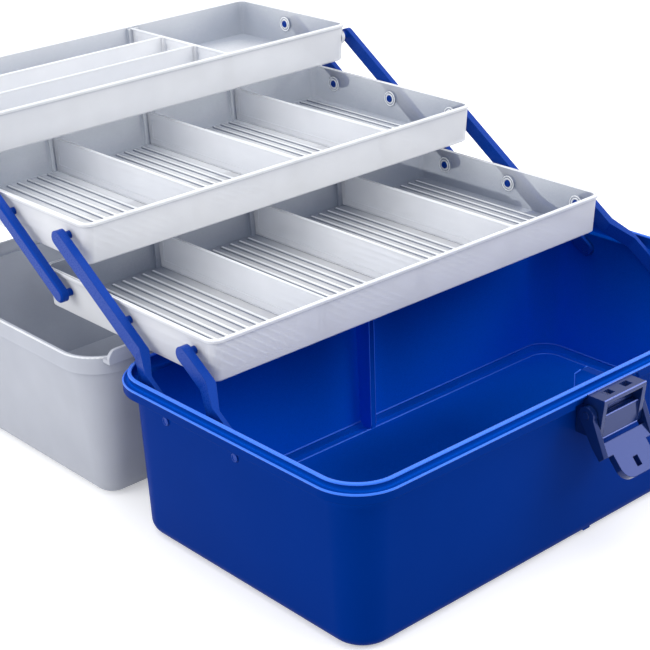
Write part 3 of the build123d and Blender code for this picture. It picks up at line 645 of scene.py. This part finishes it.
for tray in ("tray_bottom", "tray_middle"):
    low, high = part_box(tray)
    middle, level = (low[1] + high[1]) / 2, low[2] + TRAY_FLOOR
    boxes = [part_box(f"{tray}_divider_{n}") for n in (1, 2, 3)]
    between = sorted((box[0][0] + box[1][0]) / 2 for box in boxes)
    walls = [-INNER_HALF, *between, INNER_HALF]
    runs = []
    for left_wall, right_wall in zip(walls[:-1], walls[1:]):
        half_pitch = (right_wall - left_wall - 2 * MARGIN) / RIBS / 2
        runs.append({"First": (left_wall + MARGIN + half_pitch, middle, level),
                     "Last": (right_wall - MARGIN - half_pitch, middle, level), **RIB})
    grow(tray + "_floor_ribs", tray, rib_tree, runs)

# %% [markdown]
# ## Rings at the pivots
# Each arm ends in a hollow peg that shows inside the tray, and the tray has a raised ring
# round it. The tub's four pivots show as small round spots outside. One tree makes all of
# them: a thin ring that faces sideways, copied to points on a line, and mirrored to the other
# end of the box. The mirror turns the ring inside out, and grow() puts its faces right.

# %% Tree: rings in a row at both ends
ring_tree, given = start_tree("rings_in_a_row", {
    "First": "Vector", "Last": "Vector", "Count": "Count", "Ring radius": "Float",
    "Wire radius": "Float", "Material": "Material"})
loop = add_node(ring_tree, "GeometryNodeCurvePrimitiveCircle", inputs={"Resolution": 24},
                links={"Radius": given["Ring radius"]})
flat_ring = sweep(ring_tree, loop.outputs[0], given["Wire radius"], 8)
turned = add_node(ring_tree, "GeometryNodeTransform", inputs={"Rotation": (0, pi / 2, 0)},
                  links={"Geometry": flat_ring})
row = add_node(ring_tree, "GeometryNodeMeshLine", {"mode": "END_POINTS"},
               links={"Count": given["Count"], "Start Location": given["First"], "Offset": given["Last"]})
one_end = add_node(ring_tree, "GeometryNodeInstanceOnPoints",
                   links={"Points": row.outputs[0], "Instance": turned.outputs[0]})
other_end = add_node(ring_tree, "GeometryNodeTransform", inputs={"Scale": (-1, 1, 1)},
                     links={"Geometry": one_end.outputs[0]})
both_ends = add_node(ring_tree, "GeometryNodeJoinGeometry", links={"Geometry": one_end.outputs[0]})
ring_tree.links.new(other_end.outputs[0], both_ends.inputs[0])
end_tree(ring_tree, both_ends.outputs[0], given["Material"])

# %% [markdown]
# ## Pegs, their rings and the tub's pivots
# The pegs' places follow from the linkage. Every arm leans at one angle, pivots are one pitch
# apart, and each tray hangs one arm length further up and back. So three arm lengths, an angle
# and a pitch give all eight places, as they do in the real drawing.

# %% Pegs, their rings and the tub's pivots
PEG_X, RING_X, TUB_PIVOT_X = 162.8, 163.4, 187.3
REAR_PIVOT_Y, PIVOT_Z, PITCH_MM = 58.2, 87.06, 61.9
ARM_LENGTHS = (69.7, 68.8, 67.1)
LEAN_BACK = radians(34.55)


def rings(x, first, last, count, radius, wire, material):
    """Values for a row of rings, from sizes in millimetres. First and last are y and z."""
    return {"First": (x * MM, first[0] * MM, first[1] * MM), "Last": (x * MM, last[0] * MM, last[1] * MM),
            "Count": count, "Ring radius": radius * MM, "Wire radius": wire * MM, "Material": material}


# The chain starts one pitch in front of the tub's front pivots
y, z = REAR_PIVOT_Y - 2 * PITCH_MM, PIVOT_Z
holes = {}
for tray, arm, count in zip(TRAYS, ARM_LENGTHS, (3, 3, 2)):
    y, z = y + PITCH_MM + arm * cos(LEAN_BACK), z + arm * sin(LEAN_BACK)
    holes[tray] = [(y + step * PITCH_MM, z) for step in range(count)]
low_row, mid_row, top_row = holes.values()
pegs_of = {"lower_short_arms": [low_row[0]], "lower_long_arms": [low_row[1], mid_row[0]],
           "upper_long_arms": [low_row[2], mid_row[1], top_row[0]],
           "upper_short_arms": [mid_row[2], top_row[1]]}
for body, pegs in pegs_of.items():
    grow(body + "_peg_ends", body, ring_tree,
         [rings(PEG_X, peg, peg, 1, 1.9, 0.55, arm_pp) for peg in pegs])
for tray, row in holes.items():
    grow(tray + "_peg_rings", tray, ring_tree,
         [rings(RING_X, row[0], row[-1], len(row), radius, wire, pale_pp)
          for radius, wire in ((5.2, 0.4), (3.3, 0.6))])
grow("tub_pivot_rings", "base", ring_tree,
     [rings(TUB_PIVOT_X, (REAR_PIVOT_Y - PITCH_MM, PIVOT_Z), (REAR_PIVOT_Y, PIVOT_Z), 2, 2.2, 0.45, arm_pp)])

# %% [markdown]
# ## Bright edges on plain ribs and lips
# The fin at the latch, the rib at the back and the lips of the latch bracket end in thin
# rounded edges that catch the light. A flat painted line would look the same from every side,
# so each edge is a short straight rod, swept by one tree. The rods still carry a paler colour
# than their plates: a painted highlight on top of the light the rounded rods catch.

# %% Tree: rod between two points
rod_tree, given = start_tree("rod_between_points", {
    "Start": "Vector", "End": "Vector", "Rod radius": "Float", "Material": "Material"})
path = add_node(rod_tree, "GeometryNodeCurvePrimitiveLine",
                links={"Start": given["Start"], "End": given["End"]})
end_tree(rod_tree, sweep(rod_tree, path.outputs[0], given["Rod radius"], 10, capped=True),
         given["Material"])

# %% [markdown]
# ## Edges of the fin, the rib and the bracket
# The fin and the rib have an edge on each side of their plate. The bracket has four lips, all
# across the box, at the height and depth of its window and its top.

# %% Edges of the fin, the rib and the bracket
FIN_HALF, RIB_HALF, RIB_Y = 2.75, 2.15, 85.2
FIN_LOW, FIN_TOP, FIN_BACK = (-86.6, 4.0), (-86.6, 101.7), (-90.6, 105.5)
BRACKET_LIPS = ((15.2, -117.8, 89.8), (15.2, -117.8, 76.3), (18.2, -120.6, 101.2), (18.2, -108.9, 101.2))


def rod(start, end, radius, material):
    """Values for one rod, from points and a radius in millimetres."""
    return {"Start": [v * MM for v in start], "End": [v * MM for v in end],
            "Rod radius": radius * MM, "Material": material}


fin_and_rib = []
for x in (-FIN_HALF, FIN_HALF):
    fin_and_rib.append(rod((x, *FIN_LOW), (x, *FIN_TOP), 0.4, blue_painted_highlight))
    fin_and_rib.append(rod((x, *FIN_TOP), (x, *FIN_BACK), 0.5, blue_painted_highlight))
for x in (-RIB_HALF, RIB_HALF):
    fin_and_rib.append(rod((x, RIB_Y, 6.0), (x, RIB_Y, 99.2), 0.3, blue_painted_highlight))
grow("tub_rib_edges", "base", rod_tree, fin_and_rib)
grow("latch_bracket_lips", "base", rod_tree,
     [rod((-half, y, z), (half, y, z), 0.45, navy_painted_highlight) for half, y, z in BRACKET_LIPS])
